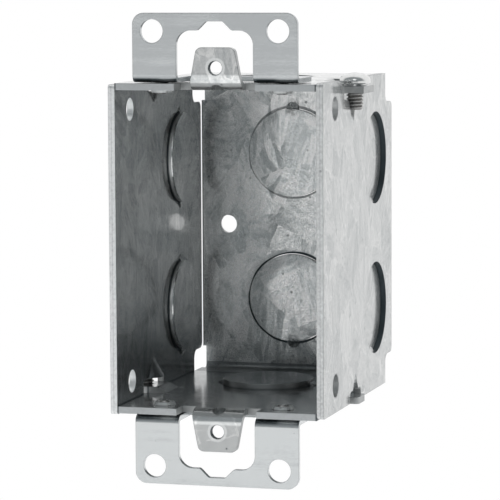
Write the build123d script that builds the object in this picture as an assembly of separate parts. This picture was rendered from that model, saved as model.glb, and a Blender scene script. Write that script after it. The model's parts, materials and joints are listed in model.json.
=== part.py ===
from build123d import *
import os
from math import atan2, cos, radians, sin, tan

# Gangable sheet-steel device box with loose side plates and sliding plaster ears.
# Millimetres. X runs across the opening, Y runs into the depth, Z is up.
# The origin is midway between the two device screw holes, on the front face of the device tabs.

# Box and sheet
SHEET = 1.59            # box sheet, one sixteenth of an inch
BOX_WIDTH = 50.8        # over both side plates
BOX_HEIGHT = 76.2       # over the top and bottom panels
BOX_DEPTH = 69.85       # front edge to the outside of the back
BEND_INNER = 0.9        # inside radius of the two back bends
BACK_EDGE_GAP = 0.08    # daylight between the back panel and each side plate
BEND_EDGE_GAP = 0.9     # the same beside the notches of the side plates

# Device tabs, folded outwards from the panels
DEVICE_SPACING = 83.34  # 3-9/32 in between device screws
DEVICE_HOLE_R = 1.65    # 6-32 tapped hole
TAB_SETBACK = 0.8       # tab face behind the front edge of the box
TAB_BEND_INNER = 1.4
TAB_ROOT_HALF = 6.05
TAB_TIP_HALF = 4.5
TAB_MARGIN = 4.65       # device hole centre to the tip of the tab
TAB_TIP_R = 1.5
TAB_RELIEF_WIDTH = 3.5  # open slot on each side of a tab
TAB_RELIEF_EXTRA = 1.2  # how far the slots run past the bend
BEND_HOLE_R = 1.5       # small hole that weakens the bend of the tab
BEND_HOLE_TILT = 25.0   # degrees round the bend from the panel

# Knockouts
KO_R = 11.1             # 1/2 in trade size
KO_SLIT = 0.12          # sheared clearance round a slug
KO_PUSH = 1.35          # slugs stand this far into the box
KO_TIE_R = 1.5          # round ties across the slit
KO_PITCH = 36.4         # centre to centre of a pair
KO_PLATE_INSET = 19.35  # outside of the back to the side knockouts
KO_PANEL_INSET = 25.45  # outside of the back to the top and bottom knockouts

# Screw holes through the back
BACK_HOLE_SPACING = 33.88
BACK_HOLE_R = 2.25

# Side plates
PLATE_BACK_GAP = 0.65   # plate end to the inside of the back panel
PLATE_LIFT = 0.3        # each plate sits this far towards its own screw
PLATE_CORNER_R = 0.9
PLATE_NOTCH_DEPTH = 6.85  # back corners cut away along the depth
PLATE_NOTCH_HEIGHT = 7.0
PLATE_NOTCH_INNER_R = 2.2
PLATE_NOTCH_OUTER_R = 1.6
NAIL_HOLE_R = 2.7
NAIL_HOLE_DEPTH = 11.2  # front edge to the nail holes
NAIL_HOLE_EDGE = 6.23   # outside of the top and bottom to the nail holes

# Screw tab and the opening for it in the side plate
SCREW_DEPTH = 27.7      # front edge to the side screw and its tab
SCREW_STANDOFF = 0.6    # screw axis outside the plate's outer face
SCREW_TAB_WIDTH = 9.7
SCREW_TAB_REACH = 3.85  # screw tab beyond the plate's outer face
SCREW_TAB_SLIT = 0.8    # slits that free the tab from the panel
JOGGLE_DROP = 1.35      # tab face below the face of the panel
JOGGLE_RUN = 2.6
JOGGLE_R = 0.7
HEAD_ROOM = 0.4         # between the screw head and the joggle
SCREW_OPENING_FRONT = 8.0  # opening from the screw axis towards the front
SCREW_OPENING_BACK = 7.8
SCREW_OPENING_HEIGHT = 5.1
MOUTH_REACH = 4.3       # slanted mouth of that opening, along the plate edge
MOUTH_DROP = 2.0
OPENING_R = 1.0
SCREW_DENT_R = 3.4      # half-cone dent round the screw, at the edge of the opening
SCREW_DENT_SLOPE = 0.5  # radius per length
DENT_WALL = 1.0

# Lug and the opening for it in the side plate
LUG_DEPTH = 30.2        # front edge to the middle of the lug
LUG_WIDTH = 6.6
LUG_REACH = 1.6         # lug beyond the plate's outer face
LUG_CORNER_R = 1.0
LUG_OPENING_WIDTH = 10.4
LUG_OPENING_HEIGHT = 2.7
LUG_DENT_STANDOFF = 0.4  # dent axis outside the plate's outer face
LUG_DENT_R = 2.65
LUG_DENT_SLOPE = 0.586

# Ears
EAR_SHEET = 1.15
EAR_BEND_INNER = 0.6
EAR_WIDTH = 39.0
EAR_HEIGHT = 16.05      # tip above the face of the panel
EAR_FACE_SETBACK = 0.2  # ear face behind the front edge of the box
EAR_LIFT = 0.2          # flange above the panel it slides on
EAR_FLANGE = 13.6
EAR_CORNER_R = 2.7
EAR_FLANGE_R = 1.5
EAR_HOLE_R = 2.7
EAR_HOLE_SPACING_X = 29.8
EAR_HOLE_EDGE = 4.15        # tip to the middle of the holes
EAR_WINDOW_HALF = 9.1
EAR_WINDOW_R = 3.3
EAR_BRIDGE = 1.95           # metal between the crown of the window and the tip
EAR_CROWN_HEIGHT = 2.05     # crown of the window above its shoulders
EAR_CROWN_BASE_HALF = 4.05
EAR_CROWN_TIP_HALF = 1.95
EAR_CROWN_R = 0.8
EAR_BAR = 3.9               # cross-bar left at the back of the flange
EAR_TRAVEL_OUT = 4.0        # ears slide forwards from the modelled place
EAR_TRAVEL_IN = 0.5

# Ear screws, 6-32
EAR_SCREW_R = 1.75
EAR_SCREW_X = 14.3
EAR_SCREW_DEPTH = 5.9       # front edge to the ear screws
EAR_SCREW_HEAD_R = 3.3
EAR_SCREW_HEAD = 2.1
EAR_SCREW_TIP = 0.95        # tip below the inside of the panel
EAR_SLOT_CLEARANCE = 0.3
COLLAR_ROOT_R = 2.7         # drawn collars that carry the ear screw thread
COLLAR_TIP_R = 2.3
COLLAR_HEIGHT = 0.7

# Side screws, 8-32
SIDE_SCREW_R = 2.08
SIDE_SCREW_LENGTH = 5.6
SIDE_SCREW_HEAD_R = 3.6
SIDE_SCREW_HEAD = 3.0

# Shared by every screw
THREAD_CLEARANCE = 0.05
HEAD_GAP = 0.05
HEAD_RIM_SHARE = 0.45       # straight rim as a share of the head height
HEAD_TOP_SHARE = 0.6        # flat top as a share of the head radius
DRIVE_WIDTH_SHARE = 0.3     # driver slot as a share of the head radius
DRIVE_DEPTH_SHARE = 0.45    # driver slot as a share of the head height
OVERCUT = 1.0               # cutters run this far past a face
NEAR = 0.1                  # a corner this close to a point is taken to be at it

# Faces that follow from the sizes above
front_y = -TAB_SETBACK
back_y = front_y + BOX_DEPTH
back_inner_y = back_y - SHEET
half_width = BOX_WIDTH / 2
plate_inner_x = half_width - SHEET
half_height = BOX_HEIGHT / 2
panel_inner_z = half_height - SHEET
tab_bend_outer = TAB_BEND_INNER + SHEET
tab_tip_z = DEVICE_SPACING / 2 + TAB_MARGIN
tab_relief_y = tab_bend_outer + TAB_RELIEF_EXTRA
screw_y = front_y + SCREW_DEPTH
screw_x = half_width + SCREW_STANDOFF
screw_seat_z = half_height - JOGGLE_DROP
lug_y = front_y + LUG_DEPTH
ear_face_y = front_y + EAR_FACE_SETBACK
flange_low_z = half_height + EAR_LIFT
flange_top_z = flange_low_z + EAR_SHEET
flange_back_y = ear_face_y + EAR_FLANGE
ear_screw_y = front_y + EAR_SCREW_DEPTH
plate_back_y = back_inner_y - PLATE_BACK_GAP

# The two halves of the box are the same part of the pattern, turned half a turn about the depth.
HALF_TURN = Rot(0, 180, 0)


def both_ways(shape):
    """The shape together with its copy turned half a turn about the depth axis."""
    return shape + HALF_TURN * shape


def block(x0, x1, y0, y1, z0, z1):
    """A box between two corners."""
    centre = Pos((x0 + x1) / 2, (y0 + y1) / 2, (z0 + z1) / 2)
    return centre * Box(x1 - x0, y1 - y0, z1 - z0)


def along_x(face, half):
    """Extrudes a Y-Z profile to both sides of the middle."""
    return extrude(Plane.YZ * face, half, both=True)


def along_y(face, y0, y1):
    """Extrudes an X-Z profile from one depth to another."""
    plane = Plane((0, y0, 0), x_dir=(1, 0, 0), z_dir=(0, -1, 0))
    return extrude(plane * face, y1 - y0, dir=(0, 1, 0))


def corners_at(face, *points):
    """The corners of a flat face that lie at the given points."""
    wanted = [Vector(*point, 0) for point in points]
    return [v for v in face.vertices() if any((Vector(v) - w).length < NEAR for w in wanted)]


def knockout(plane, tie_turns):
    """Cutter and slug of one knockout. The plane lies on the outer face and points into the box."""
    hole = plane * Pos(0, 0, SHEET / 2) * Cylinder(KO_R, SHEET + 2 * OVERCUT)
    slug = Pos(0, 0, KO_PUSH + SHEET / 2) * Cylinder(KO_R - KO_SLIT, SHEET)
    outer = KO_R + KO_TIE_R
    inner = KO_R - KO_TIE_R
    strip = Polygon(
        (outer, 0), (outer, SHEET), (inner, KO_PUSH + SHEET), (inner, KO_PUSH), align=None
    )
    round_end = Pos(KO_R, 0, SHEET) * Cylinder(KO_TIE_R, 2 * (KO_PUSH + SHEET))
    tie = extrude(Plane.XZ * strip, KO_TIE_R, both=True) & round_end
    for turn in tie_turns:
        slug = slug + Rot(0, 0, turn) * tie
    return hole, plane * slug


def punch(sheet, plane, *tie_turns):
    """The sheet with one knockout sheared in, left joined by ties at the given turns."""
    hole, slug = knockout(plane, tie_turns)
    return sheet - hole + slug


def pan_screw(radius, length, head_r, head):
    """A slotted pan-head screw that points down, with its head resting at zero."""
    profile = Polygon(
        (0, head),
        (0, -length),
        (radius, -length),
        (radius, 0),
        (head_r, 0),
        (head_r, head * HEAD_RIM_SHARE),
        (head_r * HEAD_TOP_SHARE, head),
        align=None,
    )
    screw = revolve(Plane.XZ * profile, axis=Axis.Z)
    slot_depth = head * DRIVE_DEPTH_SHARE
    return screw - Pos(0, 0, head) * Box(3 * head_r, head_r * DRIVE_WIDTH_SHARE, 2 * slot_depth)


def body_shell():
    """Back, top and bottom folded from one strip."""
    middle_y = (front_y + back_y) / 2
    outer = Pos(middle_y, 0) * Rectangle(BOX_DEPTH, BOX_HEIGHT)
    outer = fillet(outer.vertices().group_by(Axis.X)[-1], BEND_INNER + SHEET)
    inner = Pos(middle_y - SHEET, 0) * Rectangle(BOX_DEPTH, 2 * panel_inner_z)
    inner = fillet(inner.vertices().group_by(Axis.X)[-1], BEND_INNER)
    shell = along_x(outer - inner, plate_inner_x)
    bend_y = back_inner_y - BEND_INNER
    bend_z = panel_inner_z - BEND_INNER
    flat_x = plate_inner_x - BACK_EDGE_GAP
    flat_trim = block(flat_x, half_width, bend_y, back_y + OVERCUT, -bend_z, bend_z)
    bend_x = plate_inner_x - BEND_EDGE_GAP
    notch_z = half_height - PLATE_NOTCH_HEIGHT
    bend_trim = block(bend_x, half_width, bend_y, back_y + OVERCUT, notch_z, half_height + OVERCUT)
    corner_trims = both_ways(bend_trim) + both_ways(mirror(bend_trim, Plane.XY))
    return shell - both_ways(flat_trim) - corner_trims


def device_tab():
    """The upper tab for a device screw, with its bend."""
    root = Polygon(
        (0, panel_inner_z),
        (tab_relief_y, panel_inner_z),
        (tab_relief_y, half_height),
        (SHEET, half_height),
        (SHEET, tab_tip_z),
        (0, tab_tip_z),
        align=None,
    )
    root = fillet(corners_at(root, (0, panel_inner_z)), tab_bend_outer)
    root = fillet(corners_at(root, (SHEET, half_height)), TAB_BEND_INNER)
    outline = Polygon(
        (TAB_ROOT_HALF, panel_inner_z),
        (TAB_ROOT_HALF, half_height),
        (TAB_TIP_HALF, tab_tip_z),
        (-TAB_TIP_HALF, tab_tip_z),
        (-TAB_ROOT_HALF, half_height),
        (-TAB_ROOT_HALF, panel_inner_z),
        align=None,
    )
    outline = fillet(outline.vertices().group_by(Axis.Y)[-1], TAB_TIP_R)
    tab = along_x(root, TAB_ROOT_HALF) & along_y(outline, front_y, tab_relief_y)
    hole_place = Pos(0, SHEET / 2, DEVICE_SPACING / 2) * Rot(90, 0, 0)
    screw_hole = hole_place * Cylinder(DEVICE_HOLE_R, 2 * SHEET)
    tilt = radians(BEND_HOLE_TILT)
    bend_centre = (0, tab_bend_outer, panel_inner_z + tab_bend_outer)
    bend_plane = Plane(bend_centre, z_dir=(0, -sin(tilt), -cos(tilt)))
    bend_hole = bend_plane * Pos(0, 0, tab_bend_outer) * Cylinder(BEND_HOLE_R, 2 * SHEET)
    return tab - screw_hole - bend_hole


def screw_tab():
    """The upper right tab that carries the side screw, joggled inwards, and the pocket it is cut from."""
    low_x = screw_x - SIDE_SCREW_HEAD_R - HEAD_ROOM
    high_x = low_x - JOGGLE_RUN
    root_x = high_x - SHEET
    end_x = half_width + SCREW_TAB_REACH
    shift = SHEET * tan(atan2(JOGGLE_DROP, JOGGLE_RUN) / 2)
    low_z = screw_seat_z - SHEET
    upper_bends = ((high_x, half_height), (low_x, screw_seat_z))
    lower_bends = ((low_x - shift, low_z), (high_x - shift, panel_inner_z))
    profile = Polygon(
        (root_x, half_height),
        *upper_bends,
        (end_x, screw_seat_z),
        (end_x, low_z),
        *lower_bends,
        (root_x, panel_inner_z),
        align=None,
    )
    profile = fillet(corners_at(profile, *upper_bends, *lower_bends), JOGGLE_R)
    half_tab = SCREW_TAB_WIDTH / 2
    tab = along_y(profile, screw_y - half_tab, screw_y + half_tab)
    thread = Pos(screw_x, screw_y, low_z) * Cylinder(SIDE_SCREW_R + THREAD_CLEARANCE, 4 * SHEET)
    free_front = screw_y - half_tab - SCREW_TAB_SLIT
    free_back = screw_y + half_tab + SCREW_TAB_SLIT
    low_cut = panel_inner_z - OVERCUT
    pocket = block(root_x, half_width, free_front, free_back, low_cut, half_height + OVERCUT)
    return tab - thread, pocket


def lug():
    """The lower right lug that reaches out through the side plate."""
    root_x = plate_inner_x - SHEET
    end_x = half_width + LUG_REACH
    plan = Pos((root_x + end_x) / 2, lug_y) * Rectangle(end_x - root_x, LUG_WIDTH)
    plan = fillet(plan.vertices().group_by(Axis.X)[-1], LUG_CORNER_R)
    return extrude(Pos(0, 0, -half_height) * plan, SHEET)


def ear_screw_places():
    """Where the two upper ear screws stand."""
    return [(-EAR_SCREW_X, ear_screw_y), (EAR_SCREW_X, ear_screw_y)]


def make_body():
    """Back, top and bottom with all their tabs, holes and knockouts."""
    body = body_shell()
    window_half = TAB_ROOT_HALF + TAB_RELIEF_WIDTH
    low_cut = panel_inner_z - OVERCUT
    high_cut = half_height + OVERCUT
    relief = block(-window_half, window_half, front_y - OVERCUT, tab_relief_y, low_cut, high_cut)
    tab, pocket = screw_tab()
    body = body - both_ways(relief) - both_ways(pocket)
    body = body + both_ways(device_tab()) + both_ways(tab) + both_ways(lug())
    for x, y in ear_screw_places():
        collar = Cone(COLLAR_TIP_R, COLLAR_ROOT_R, COLLAR_HEIGHT)
        collar = Pos(x, y, panel_inner_z - COLLAR_HEIGHT / 2) * collar
        thread = Pos(x, y, panel_inner_z) * Cylinder(EAR_SCREW_R + THREAD_CLEARANCE, 4 * SHEET)
        body = body + both_ways(collar) - both_ways(thread)
    for side in (-1, 1):
        back_hole = Pos(side * BACK_HOLE_SPACING / 2, back_y, 0) * Rot(90, 0, 0)
        body -= back_hole * Cylinder(BACK_HOLE_R, 4 * SHEET)
        back_plane = Plane((0, back_y, side * KO_PITCH / 2), x_dir=(1, 0, 0), z_dir=(0, -1, 0))
        body = punch(body, back_plane, side * 90)
        panel_y = back_y - KO_PANEL_INSET
        panel_plane = Plane((0, panel_y, side * half_height), x_dir=(1, 0, 0), z_dir=(0, 0, -side))
        body = punch(body, panel_plane, 0, 180)
    return body


def dent(axis_x, axis_y, edge_z, edge_r, slope):
    """Solid and hollow of a half-cone dent that opens upwards at edge_z."""
    length = edge_r / slope
    wall_length = DENT_WALL / sin(atan2(slope, 1))
    hollow_length = length + OVERCUT
    solid_length = length + wall_length
    reach = solid_length * slope
    hollow = Cone(0, hollow_length * slope, hollow_length)
    hollow = Pos(axis_x, axis_y, edge_z - length + hollow_length / 2) * hollow
    solid = Pos(axis_x, axis_y, edge_z - solid_length / 2) * Cone(0, reach, solid_length)
    low_z = edge_z - solid_length
    inside = block(axis_x - reach, half_width, axis_y - reach, axis_y + reach, low_z, edge_z)
    return solid & inside, hollow


def make_right_plate():
    """The right side plate, with its screw end at the top."""
    middle_y = (front_y + plate_back_y) / 2
    outline = Pos(middle_y, 0) * Rectangle(plate_back_y - front_y, BOX_HEIGHT)
    outline = fillet(outline.vertices().group_by(Axis.X)[0], PLATE_CORNER_R)
    notch_y = plate_back_y - PLATE_NOTCH_DEPTH
    notch_z = half_height - PLATE_NOTCH_HEIGHT
    for side in (-1, 1):
        middle = Pos((notch_y + plate_back_y + OVERCUT) / 2, side * (notch_z + half_height + OVERCUT) / 2)
        outline -= middle * Rectangle(PLATE_NOTCH_DEPTH + OVERCUT, PLATE_NOTCH_HEIGHT + OVERCUT)
    inner_corners = corners_at(outline, (notch_y, notch_z), (notch_y, -notch_z))
    outline = fillet(inner_corners, PLATE_NOTCH_INNER_R)
    outer_corners = corners_at(outline, (plate_back_y, notch_z), (plate_back_y, -notch_z))
    outline = fillet(outer_corners, PLATE_NOTCH_OUTER_R)
    screw_edge_z = half_height - SCREW_OPENING_HEIGHT
    opening_front = screw_y - SCREW_OPENING_FRONT
    opening_back = screw_y + SCREW_OPENING_BACK
    opening_corners = ((opening_front, screw_edge_z), (opening_back, screw_edge_z))
    screw_opening = Polygon(
        (opening_front - MOUTH_REACH, half_height),
        (opening_front, half_height - MOUTH_DROP),
        *opening_corners,
        (opening_back, half_height),
        align=None,
    )
    screw_opening = fillet(corners_at(screw_opening, *opening_corners), OPENING_R)
    lug_opening = RectangleRounded(LUG_OPENING_WIDTH, 2 * LUG_OPENING_HEIGHT, OPENING_R)
    outline = outline - screw_opening - Pos(lug_y, -half_height) * lug_opening
    hole_y = front_y + NAIL_HOLE_DEPTH
    hole_z = half_height - NAIL_HOLE_EDGE
    for side in (-1, 1):
        outline -= Pos(hole_y, side * hole_z) * Circle(NAIL_HOLE_R)
    plate = extrude(Plane((plate_inner_x, 0, 0), x_dir=(0, 1, 0), z_dir=(1, 0, 0)) * outline, SHEET)
    screw_solid, screw_hollow = dent(screw_x, screw_y, screw_edge_z, SCREW_DENT_R, SCREW_DENT_SLOPE)
    lug_dent_x = half_width + LUG_DENT_STANDOFF
    lug_edge_z = half_height - LUG_OPENING_HEIGHT
    lug_solid, lug_hollow = dent(lug_dent_x, lug_y, lug_edge_z, LUG_DENT_R, LUG_DENT_SLOPE)
    plate = plate + screw_solid + mirror(lug_solid, Plane.XY)
    plate = plate - screw_hollow - mirror(lug_hollow, Plane.XY)
    ko_y = back_y - KO_PLATE_INSET
    for side in (-1, 1):
        plane = Plane((half_width, ko_y, side * KO_PITCH / 2), x_dir=(0, 1, 0), z_dir=(-1, 0, 0))
        plate = punch(plate, plane, 90, 270)
    return Pos(0, 0, PLATE_LIFT) * plate


def make_top_ear():
    """The upper ear, an angle with slotted foot."""
    tip_z = half_height + EAR_HEIGHT
    angle = Polygon(
        (ear_face_y, flange_low_z),
        (flange_back_y, flange_low_z),
        (flange_back_y, flange_top_z),
        (ear_face_y + EAR_SHEET, flange_top_z),
        (ear_face_y + EAR_SHEET, tip_z),
        (ear_face_y, tip_z),
        align=None,
    )
    angle = fillet(corners_at(angle, (ear_face_y, flange_low_z)), EAR_BEND_INNER + EAR_SHEET)
    angle = fillet(corners_at(angle, (ear_face_y + EAR_SHEET, flange_top_z)), EAR_BEND_INNER)
    low_z = flange_low_z - OVERCUT
    face = Pos(0, (low_z + tip_z) / 2) * Rectangle(EAR_WIDTH, tip_z - low_z)
    face = fillet(face.vertices().group_by(Axis.Y)[-1], EAR_CORNER_R)
    for side in (-1, 1):
        face -= Pos(side * EAR_HOLE_SPACING_X / 2, tip_z - EAR_HOLE_EDGE) * Circle(EAR_HOLE_R)
    crown_z = tip_z - EAR_BRIDGE
    shoulder_z = crown_z - EAR_CROWN_HEIGHT
    shoulders = ((EAR_WINDOW_HALF, shoulder_z), (-EAR_WINDOW_HALF, shoulder_z))
    crown = (
        (EAR_CROWN_BASE_HALF, shoulder_z),
        (EAR_CROWN_TIP_HALF, crown_z),
        (-EAR_CROWN_TIP_HALF, crown_z),
        (-EAR_CROWN_BASE_HALF, shoulder_z),
    )
    window = Polygon(
        (EAR_WINDOW_HALF, low_z), shoulders[0], *crown, shoulders[1], (-EAR_WINDOW_HALF, low_z), align=None
    )
    window = fillet(corners_at(window, *shoulders), EAR_WINDOW_R)
    window = fillet(corners_at(window, *crown), EAR_CROWN_R)
    ear = along_x(angle, EAR_WIDTH / 2) & along_y(face, ear_face_y - OVERCUT, flange_back_y + OVERCUT)
    ear -= along_y(window, ear_face_y - OVERCUT, flange_back_y - EAR_BAR)
    slot_r = EAR_SCREW_R + EAR_SLOT_CLEARANCE
    slot_length = EAR_TRAVEL_IN + EAR_TRAVEL_OUT + 2 * EAR_SLOT_CLEARANCE
    slot_y = ear_screw_y + (EAR_TRAVEL_OUT - EAR_TRAVEL_IN) / 2
    for x, _ in ear_screw_places():
        slot = Rot(0, 0, 90) * SlotCenterToCenter(slot_length, 2 * slot_r)
        ear -= Pos(x, slot_y, flange_low_z - OVERCUT) * extrude(slot, EAR_SHEET + 2 * OVERCUT)
    foot_edges = ear.edges().filter_by(Axis.Z).group_by(Axis.Y)[-1]
    return fillet(foot_edges, EAR_FLANGE_R)


def make_top_ear_screw(x, y):
    """One of the upper ear screws."""
    seat_z = flange_top_z + HEAD_GAP
    length = seat_z - panel_inner_z + EAR_SCREW_TIP
    screw = pan_screw(EAR_SCREW_R, length, EAR_SCREW_HEAD_R, EAR_SCREW_HEAD)
    return Pos(x, y, seat_z) * screw


def make_right_side_screw():
    """The screw that holds the right plate, at the top."""
    seat_z = screw_seat_z + HEAD_GAP
    screw = pan_screw(SIDE_SCREW_R, SIDE_SCREW_LENGTH, SIDE_SCREW_HEAD_R, SIDE_SCREW_HEAD)
    return Pos(screw_x, screw_y, seat_z) * screw


right_plate = make_right_plate()
top_ear = make_top_ear()
side_screw = make_right_side_screw()
left_place, right_place = ear_screw_places()
top_left_screw = make_top_ear_screw(*left_place)
top_right_screw = make_top_ear_screw(*right_place)

nodes = {
    "box_body": make_body(),
    "right_side_plate": right_plate,
    "left_side_plate": HALF_TURN * right_plate,
    "top_ear": top_ear,
    "bottom_ear": HALF_TURN * top_ear,
    "right_side_screw": side_screw,
    "left_side_screw": HALF_TURN * side_screw,
    "top_left_ear_screw": top_left_screw,
    "top_right_ear_screw": top_right_screw,
    "bottom_right_ear_screw": HALF_TURN * top_left_screw,
    "bottom_left_ear_screw": HALF_TURN * top_right_screw,
}

os.makedirs("parts", exist_ok=True)
for name, solid in nodes.items():
    export_step(solid, f"parts/{name}.step")
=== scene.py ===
"""Gangable galvanised steel switch box: finishes, cut screw threads, stage and camera."""

import json
import math

import bmesh
import bpy
from mathutils import Matrix, Vector


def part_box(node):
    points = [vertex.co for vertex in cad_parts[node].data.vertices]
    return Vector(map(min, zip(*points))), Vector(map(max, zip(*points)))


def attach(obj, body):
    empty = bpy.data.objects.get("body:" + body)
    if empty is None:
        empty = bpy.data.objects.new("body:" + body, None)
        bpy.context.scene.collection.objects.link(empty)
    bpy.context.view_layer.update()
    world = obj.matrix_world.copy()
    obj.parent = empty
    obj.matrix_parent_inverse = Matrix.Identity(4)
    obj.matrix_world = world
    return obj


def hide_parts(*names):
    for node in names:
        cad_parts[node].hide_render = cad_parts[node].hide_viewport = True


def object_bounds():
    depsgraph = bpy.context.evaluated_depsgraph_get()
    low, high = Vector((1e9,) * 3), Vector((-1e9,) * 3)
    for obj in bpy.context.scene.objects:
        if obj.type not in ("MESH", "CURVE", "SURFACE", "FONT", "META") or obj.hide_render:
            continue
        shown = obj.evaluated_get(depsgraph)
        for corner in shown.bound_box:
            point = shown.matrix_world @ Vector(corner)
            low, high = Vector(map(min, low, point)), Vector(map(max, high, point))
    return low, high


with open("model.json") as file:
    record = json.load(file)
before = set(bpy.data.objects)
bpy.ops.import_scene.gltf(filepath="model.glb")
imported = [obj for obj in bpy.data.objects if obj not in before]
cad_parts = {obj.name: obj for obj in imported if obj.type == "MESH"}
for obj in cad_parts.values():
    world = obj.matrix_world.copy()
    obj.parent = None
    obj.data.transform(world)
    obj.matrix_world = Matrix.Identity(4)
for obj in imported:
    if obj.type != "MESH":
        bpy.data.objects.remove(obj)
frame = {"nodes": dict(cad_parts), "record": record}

CAD_BOX = [list(corner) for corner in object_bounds()]

bl_info = {
    "name": "Steel switch box",
    "version": (1, 0, 0),
    "blender": (4, 5, 0),
    "location": "3D View > Sidebar > Switch Box",
    "description": "Dresses a gangable galvanised switch box and sets its studio",
    "category": "Object",
}

MM = 0.001

# Folded strip: sheet, panels, back, and the limits of the zones that its finish follows
SHEET = 1.59 * MM
PANEL_INNER = 36.4 * MM
PANEL_FACE = 36.51 * MM
PANEL_OUTER = 38.2 * MM
JOGGLE_LOW = 35.0 * MM
BACK_ZONE = 60.0 * MM
BACK_INNER = 67.0 * MM
BACK_FACE = 67.46 * MM
FRONT_ZONE = -0.3 * MM
DEVICE_HEIGHT = 41.67 * MM
TAPPED_RADIUS = 1.64 * MM
COLLAR_RADIUS = 3.4 * MM
MIDDLE_HOLE = 3.0 * MM

# Side plates
PLATE_LIFT = 0.3 * MM
PLATE_INNER = 23.81 * MM
PLATE_OUTER = 25.4 * MM
PLATE_END = 66.8 * MM
FRACTURE = 24.6 * MM
NAIL_DEPTH = 10.4 * MM
NAIL_HEIGHT = 31.87 * MM
NAIL_RADIUS = 2.85 * MM
DENT_RADIUS = 4.2 * MM

# Knockouts, the side on which the lower slug in the back is dished, and the fade at a sunk slug
KO_RADIUS = 11.1 * MM
KO_HEIGHT = 18.2 * MM
KO_PANEL = 43.6 * MM
KO_PLATE = 49.7 * MM
DISHED_SIDE = (-0.7, 0, 0.7)
SUNK_FADE = 0.5 * MM

# Axes, seats and tips of the screws
SCREW_WIDTH = 26.0 * MM
SCREW_DEPTH = 26.9 * MM
SCREW_SEAT = 36.8 * MM
SCREW_TIP = 31.2 * MM
EAR_SCREW_WIDTH = 14.3 * MM
EAR_SCREW_DEPTH = 5.1 * MM
EAR_SCREW_SEAT = 39.5 * MM

# Part of a normal above which a face looks along an axis
STEEP = 0.7

# Fineness of the patterns in the zinc, in spots to a metre
DRIFT = 130.0
FEATHER = 1400.0
GRAIN = 1500.0
SHEAR = 1500.0
CLOUD = 45.0
STREAK = 420.0
SPECK = 420.0
RUB = 210.0
SCUFF = 150.0
HAZE = 12000.0
EAR_BAND = 420.0
EAR_GRAIN = 3200.0
EAR_CLOUD = 70.0
EAR_PIT = 800.0
EAR_PATCH = 140.0
DULL_SPOT = 900.0
TURNING_LINE = 4200.0

# Cut screws: part of a head that the shank reaches into, rounding of a slot, the shortest edge
# that is kept, and the angles from which an edge is rounded off or shaded as sharp
HEAD_OVERLAP = 0.3
SLOT_ROUNDING = 0.1 * MM
SHORTEST_EDGE = 0.0005 * MM
ROUNDED_FROM = math.radians(40)
SHARP_FROM = math.radians(35)

# Studio: width of the sensor in millimetres and of the softboxes in metres
SENSOR_WIDTH = 36
OVERHEAD_SIZE = 1.6
KEY_SIZE = 0.5

# Where the dark parts of the white room fade in: upwards, towards the front, upwards from half
# to full round the line of sight, and in degrees from that line
HORIZON = (-0.04, 0.1)
FRONT_HALF = (-0.1, 0.35)
FRONT_FOOT = (-0.1, 0.02)
FRONT_SHADE = (28, 13)
WHITE = (1.0, 1.0, 1.0)

BODY_NODES = ("box_body",)
PLATE_NODES = ("right_side_plate", "left_side_plate")
EAR_NODES = ("top_ear", "bottom_ear")

# Which way each screw points, 1 for down, and the turn of its slot in degrees
SIDE_SCREWS = {"right_side_screw": (1, 20), "left_side_screw": (-1, 117)}
EAR_SCREWS = {
    "top_left_ear_screw": (1, 35),
    "top_right_ear_screw": (1, 96),
    "bottom_right_ear_screw": (-1, 157),
    "bottom_left_ear_screw": (-1, 218),
}


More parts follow.
